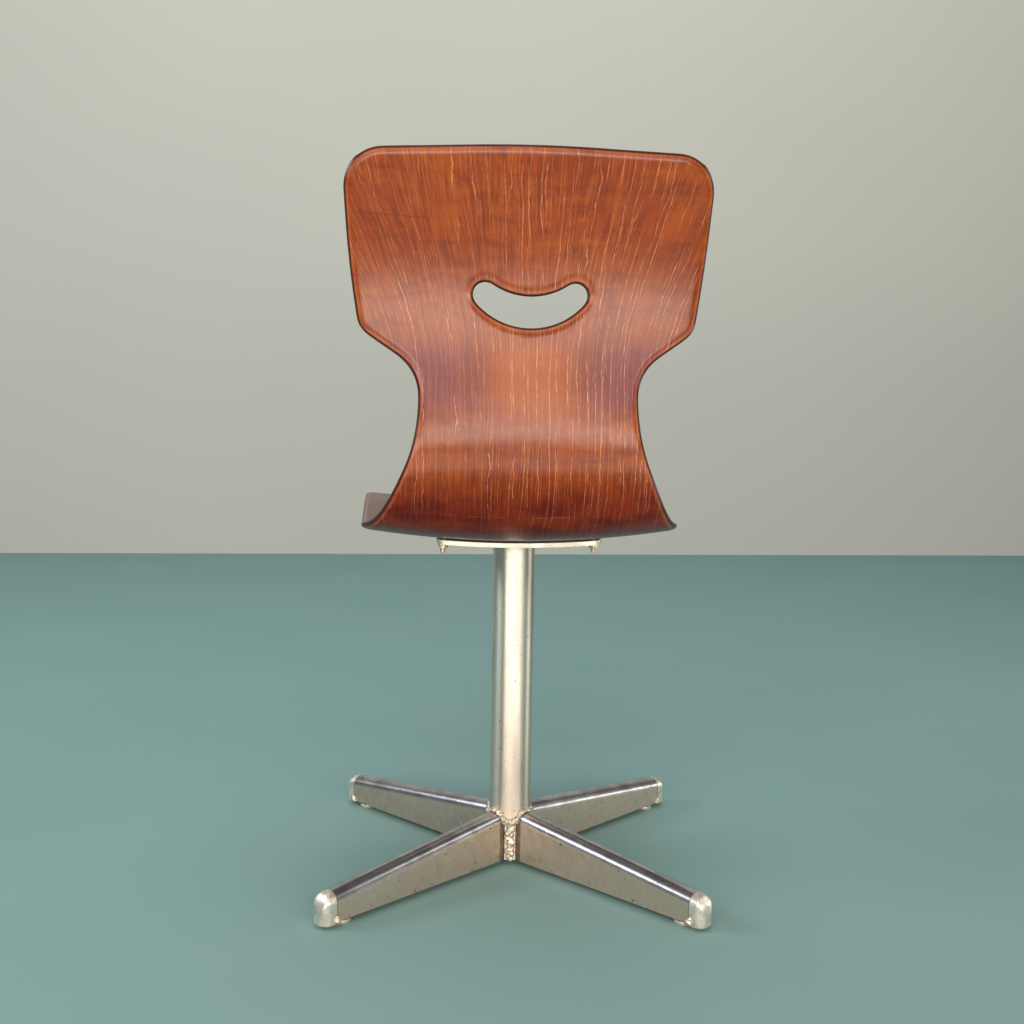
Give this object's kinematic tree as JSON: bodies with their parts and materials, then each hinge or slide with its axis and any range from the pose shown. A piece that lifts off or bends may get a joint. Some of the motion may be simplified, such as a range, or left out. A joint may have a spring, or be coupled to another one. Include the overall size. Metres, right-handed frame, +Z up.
{
  "type": "swivel chair",
  "caption": "Swivel chair: a one-piece moulded plywood seat and back with a curved hand-hold, turning on a steel column with splayed channel arms.",
  "frame": {"origin": "on the floor under the swivel axis", "axes": "+Z up along the swivel axis, the sitter faces -Y and the sitter's left is +X; the base is drawn at the turn in which it stood, 3.4 degrees clockwise of the seat seen from above, so the arms point at 41.6 degrees and at right angles to that"},
  "size_m": [0.4522, 0.4522, 0.829],
  "materials": {
    "moulded_plywood": "satin lacquer, reddish brown with pale flecks along the grain",
    "column_steel": "worn nickel plate",
    "arm_steel": "worn plated sheet",
    "cast_cap": "polished casting",
    "plate_steel": "plain",
    "zinc_steel": "zinc plated",
    "weld_metal": "rough bead",
    "bright_steel": "machined",
    "spring_steel": "blued",
    "nylon": "natural",
    "glide_metal": "worn plated pressing"
  },
  "bodies": {
    "base": {"column_tube": "column_steel", "hub_welds": "weld_metal", "cap_tacks": "weld_metal", "upper_bush": "nylon", "lower_bush": "nylon", "thrust_washer": "bright_steel", "front_left_arm": "arm_steel", "front_left_end_cap": "cast_cap", "front_left_glide": "glide_metal", "front_left_glide_bridge": "plate_steel", "front_right_arm": "arm_steel", "front_right_end_cap": "cast_cap", "front_right_glide": "glide_metal", "front_right_glide_bridge": "plate_steel", "rear_left_arm": "arm_steel", "rear_left_end_cap": "cast_cap", "rear_left_glide": "glide_metal", "rear_left_glide_bridge": "plate_steel", "rear_right_arm": "arm_steel", "rear_right_end_cap": "cast_cap", "rear_right_glide": "glide_metal", "rear_right_glide_bridge": "plate_steel"},
    "seat": {"spindle_tube": "bright_steel", "spindle_head": "bright_steel", "head_weld": "weld_metal", "retaining_washer": "bright_steel", "circlip": "spring_steel", "seat_plate": "plate_steel", "seat_shell": "moulded_plywood", "seat_bolts": "zinc_steel", "seat_washers": "zinc_steel", "seat_nuts": "zinc_steel"}
  },
  "joints": [
    {"name": "seat_swivel", "type": "hinge", "parent": "base", "child": "seat", "pos_m": [0, 0, 0.39], "axis": [0, 0, 1], "continuous": true}
  ]
}
